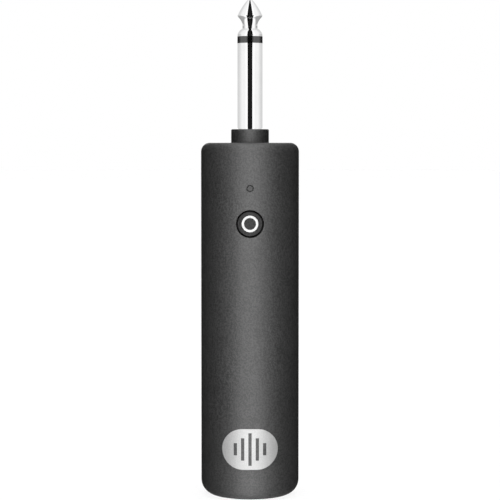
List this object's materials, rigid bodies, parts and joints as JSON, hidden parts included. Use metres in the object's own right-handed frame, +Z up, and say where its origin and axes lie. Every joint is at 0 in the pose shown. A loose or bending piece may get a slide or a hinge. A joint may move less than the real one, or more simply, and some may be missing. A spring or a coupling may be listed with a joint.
{
  "type": "wireless guitar transmitter",
  "caption": "Cylindrical plug-in transmitter for a guitar: round housing with a push button, a lamp and a quarter inch jack plug on its end.",
  "frame": {"origin": "centre of the housing's flat foot", "axes": "+Z up along the plug's axis, the button and the lamp on the front, which faces -Y"},
  "size_m": [0.0248, 0.0248, 0.1257],
  "materials": {
    "housing_plastic": "fine matte texture",
    "button_matte": "dull matte texture",
    "ring_white": "smooth",
    "badge_metal": "satin",
    "plug_nickel": "polished nickel plate",
    "band_black": "smooth",
    "brass_lugs": "tinned",
    "screw_steel": "black zinc",
    "sheet_steel": "satin",
    "cell_foils": "wound foils",
    "cell_sleeve": "shrunk film",
    "card_white": "card",
    "board_green": "solder mask",
    "black_moulding": "satin",
    "gilt": "gold flash",
    "ceramic": "ceramic",
    "ceramic_white": "ceramic",
    "lamp_clear": "smoked clear",
    "lamp_white": "smooth",
    "connector_white": "satin",
    "foam_grey": "closed-cell foam",
    "lead_red": "insulation",
    "lead_black": "insulation"
  },
  "bodies": {
    "housing": {"antenna": "ceramic_white", "badge": "badge_metal", "battery_can": "sheet_steel", "battery_cap": "sheet_steel", "battery_plug": "connector_white", "battery_roll": "cell_foils", "battery_sleeve": "cell_sleeve", "battery_socket": "connector_white", "black_lead": "lead_black", "board_link": "black_moulding", "capacitors": "ceramic", "cell_washer": "card_white", "charge_board": "board_green", "charger_chip": "black_moulding", "converter_chip": "black_moulding", "crystal": "sheet_steel", "front_pad": "foam_grey", "front_shell": "housing_plastic", "housing_screws": "screw_steel", "inner_insulator": "band_black", "light_pipe": "lamp_clear", "link_pins": "gilt", "main_board": "board_green", "negative_tab": "sheet_steel", "plug_bush": "housing_plastic", "plug_sleeve": "plug_nickel", "plug_tip": "plug_nickel", "port_contacts": "gilt", "port_core": "black_moulding", "port_shell": "sheet_steel", "positive_tab": "sheet_steel", "power_inductor": "black_moulding", "radio_chip": "black_moulding", "rear_insulator": "band_black", "rear_pad": "foam_grey", "rear_shell": "housing_plastic", "red_lead": "lead_red", "resistors": "black_moulding", "rod_nut": "brass_lugs", "shield_can": "sheet_steel", "sleeve_lug": "brass_lugs", "status_lamp": "lamp_white", "switch_case": "black_moulding", "switch_dome": "sheet_steel", "switch_legs": "sheet_steel", "tip_insulator": "band_black", "tip_lug": "brass_lugs"},
    "button": {"button_cap": "button_matte", "button_ring": "ring_white", "switch_plunger": "black_moulding"}
  },
  "joints": [
    {"name": "button_press", "type": "slide", "parent": "housing", "child": "button", "axis": [0, 1, 0], "range_m": [0, 0.0003], "stiffness_N_per_m": 3000, "deforming": ["switch_dome"]}
  ]
}
